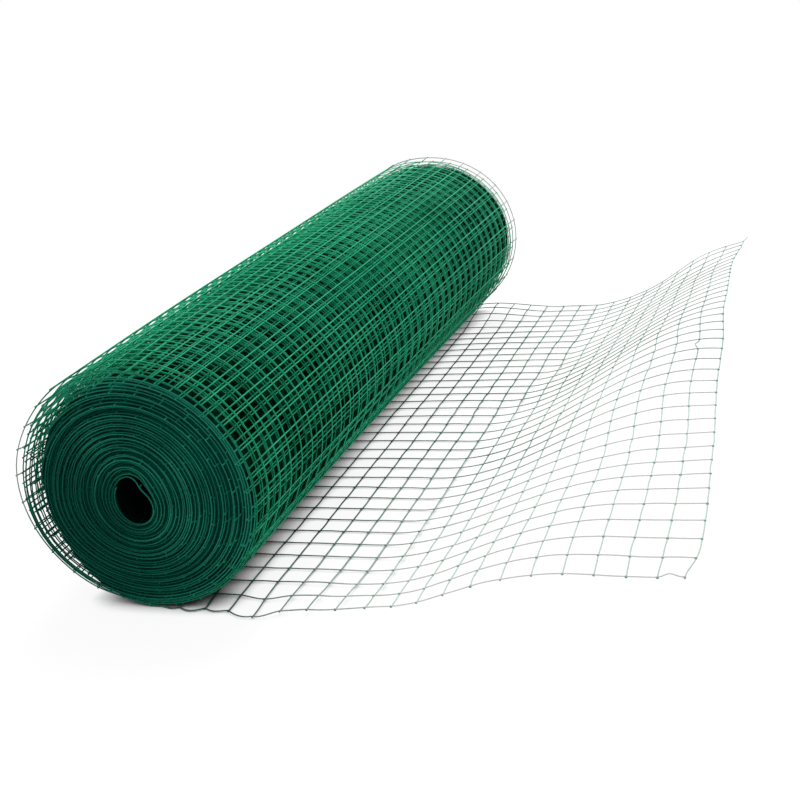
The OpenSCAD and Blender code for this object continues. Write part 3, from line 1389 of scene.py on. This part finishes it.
        knots, knots_along, knots_up = (
            values[:: self.steps, crossings].reshape(-1, 3)
            for values in (points - up * mesh.stack / 2, along, up)
        )
        welds = WeldBead(2, self.bead).copy_to(
            "loose_end_welds", knots, knots_along, knots_up, self.tones(knots), rng)
        return [
            self.dress(lengthwise.finish("loose_end_long_wires"), self.long_finish.material()),
            self.dress(cross.finish("loose_end_crosswires"), self.cross_finish.material()),
            self.dress(welds, self.weld_finish.material()),
        ]

    def dress(self, piece: Piece, coat: bpy.types.Material) -> Piece:
        """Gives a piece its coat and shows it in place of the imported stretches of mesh."""
        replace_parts(coated(piece, coat), "loose_end_flat", "loose_end_bend", "loose_end_tip")
        return piece


@dataclass(frozen=True)
class ViewPoint:
    """Camera at the photograph's viewing angle.

    Args:
        eye: Place of the camera, measured from the contact line under the middle of the roll.
        azimuth: Turn of the view about the vertical, in degrees.
        elevation: Angle of the view downwards, in degrees.
        bank: Tilt of the camera about its own line of view, in degrees.
        focal_share: Focal length as a share of the picture's width.
        sensor: Width of the sensor, in millimetres.
        clip: Nearest and furthest distance that is seen.
    """

    eye: Triple = (532.87 * MM, -1240.69 * MM, 482.3 * MM)
    azimuth: float = 20.068
    elevation: float = 19.201
    bank: float = -7.383
    focal_share: float = 1.4913
    sensor: float = 36.0
    clip: Pair = (0.05, 60.0)

    def build(self, contact_x: float) -> None:
        """Makes the camera and gives it to the scene.

        Args:
            contact_x: Place of the contact line under the roll.
        """
        data = bpy.data.cameras.new("camera")
        data.sensor_fit = "HORIZONTAL"
        data.sensor_width = self.sensor
        data.lens = self.focal_share * self.sensor
        data.clip_start, data.clip_end = self.clip
        turn, lift, bank = map(math.radians, (self.azimuth, self.elevation, self.bank))
        back = Vector((math.sin(turn) * math.cos(lift), -math.cos(turn) * math.cos(lift), math.sin(lift)))
        right = (-back).cross(Vector(UPWARDS)).normalized()
        up = back.cross(right)
        tilted_right = math.cos(bank) * right + math.sin(bank) * up
        tilted_up = math.cos(bank) * up - math.sin(bank) * right
        axes = Matrix((tilted_right, tilted_up, back)).transposed()
        camera = bpy.data.objects.new("camera", data)
        eye = Vector(self.eye) + Vector((contact_x, 0.0, 0.0))
        camera.matrix_world = Matrix.Translation(eye) @ axes.to_4x4()
        bpy.context.scene.collection.objects.link(camera)
        bpy.context.scene.camera = camera


@dataclass(frozen=True)
class Studio:
    """White floor and soft light.

    Args:
        floor_size: Side of the floor.
        floor_bounce: Lightness of the floor as the object gets it back.
        floor_shaded: Lightness of the floor as the camera sees it by the light that falls on it.
        floor_glow: White that the camera sees besides, except close to what stands on the floor.
        contact: Distance from what stands on the floor over which that white fades in.
        openness: Shares of open sky between which it does.
        fade: Distances from the origin over which the floor turns to plain white.
        sky: Strength of the light from all round.
        key_power: Power of the soft lamp overhead.
        key_place: Place of that lamp.
        key_size: Side of that lamp.
    """

    floor_size: float = 24.0
    floor_bounce: float = 0.8
    floor_shaded: float = 0.2
    floor_glow: float = 0.89
    contact: float = 30 * MM
    openness: Pair = (0.2, 0.8)
    fade: Pair = (0.8, 1.6)
    sky: float = 0.5
    key_power: float = 20.0
    key_place: Triple = (-0.25, 0.7, 1.6)
    key_size: float = 1.2

    def build(self) -> None:
        """Makes the floor, the lamp and the world."""
        self.floor()
        self.key()
        self.world()

    def seen(self, tree: bpy.types.NodeTree) -> bpy.types.NodeSocket:
        """Adds nodes that tell a ray from the camera, or its reflection, from one that lights the object.

        Args:
            tree: Node tree that gets the nodes.

        Returns:
            The socket that is 1 for such a ray.
        """
        path = tree.nodes.new("ShaderNodeLightPath").outputs
        either = partial(add_node, tree, "Math", "Value", operation="MAXIMUM")
        reflected = either({0: path["Is Glossy Ray"], 1: path["Is Transmission Ray"]})
        return either({0: path["Is Camera Ray"], 1: reflected})

    def floor(self) -> None:
        """Lays the floor, which keeps the shadow near the object and is plain white further out."""
        bpy.ops.object.select_all(action="DESELECT")
        bpy.ops.mesh.primitive_plane_add(size=self.floor_size, location=(0.0, 0.0, CAD_BOX[0].z))
        floor = bpy.context.object
        floor.name = "floor"
        made = bpy.data.materials.new("floor_paper")
        made.use_nodes = True
        tree = made.node_tree
        tree.nodes.clear()
        add = partial(add_node, tree)
        ramp = partial(add, "MapRange", "Result")
        bounce, shaded = (
            add("BsdfDiffuse", "BSDF", {"Color": (light, light, light, 1.0)})
            for light in (self.floor_bounce, self.floor_shaded)
        )
        near = add("AmbientOcclusion", "AO", {"Distance": self.contact})
        least, most = self.openness
        strength = ramp({"Value": near, "From Min": least, "From Max": most, "To Max": self.floor_glow})
        glow = add("Emission", "Emission", {"Strength": strength})
        lit = add("AddShader", "Shader", {0: shaded, 1: glow})
        distance = add("VectorMath", "Value", {0: add("TexCoord", "Object", {})}, operation="LENGTH")
        start, stop = self.fade
        far = ramp({"Value": distance, "From Min": start, "From Max": stop}, interpolation_type="SMOOTHSTEP")
        white = add("Emission", "Emission", {})
        outwards = add("MixShader", "Shader", {"Fac": far, 1: lit, 2: white})
        paper = add("MixShader", "Shader", {"Fac": self.seen(tree), 1: bounce, 2: outwards})
        tree.links.new(paper, tree.nodes.new("ShaderNodeOutputMaterial").inputs["Surface"])
        floor.data.materials.append(made)

    def key(self) -> None:
        """Hangs the soft lamp overhead."""
        data = bpy.data.lights.new("key_lamp", "AREA")
        data.energy = self.key_power
        data.size = self.key_size
        lamp = bpy.data.objects.new("key_lamp", data)
        lamp.location = self.key_place
        lamp.rotation_mode = "QUATERNION"
        lamp.rotation_quaternion = Vector(self.key_place).to_track_quat("Z", "Y")
        bpy.context.scene.collection.objects.link(lamp)

    def world(self) -> None:
        """Makes the even light from all round, which is plain white to the camera."""
        made = bpy.data.worlds.new("studio")
        made.use_nodes = True
        tree = made.node_tree
        tree.nodes.clear()
        strength = add_node(tree, "MapRange", "Result", {"Value": self.seen(tree), "To Min": self.sky})
        white = {"Color": (1.0, 1.0, 1.0, 1.0), "Strength": strength}
        light = add_node(tree, "Background", "Background", white)
        tree.links.new(light, tree.nodes.new("ShaderNodeOutputWorld").inputs["Surface"])
        bpy.context.scene.world = made


def main() -> None:
    """Builds the view, the studio, the wound turns and the loose end, and notes the sizes."""
    logging.basicConfig(level=logging.INFO, format="%(name)s: %(message)s")
    bpy.context.scene.view_settings.view_transform = "Standard"
    mesh = FenceMesh()
    low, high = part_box("roll")
    hub_x = (low.x + high.x) / 2
    ViewPoint().build(hub_x)
    Studio().build()
    wound = WoundTurns(mesh, hub_x)
    pieces = [*wound.build(), PackedTurns(wound).build(), *LooseEnd(mesh, hub_x).build()]
    for piece in pieces:
        piece.data.calc_loop_triangles()
        LOG.info("%s: %d triangles", piece.name, len(piece.data.loop_triangles))


if __name__ == "__main__":
    main()
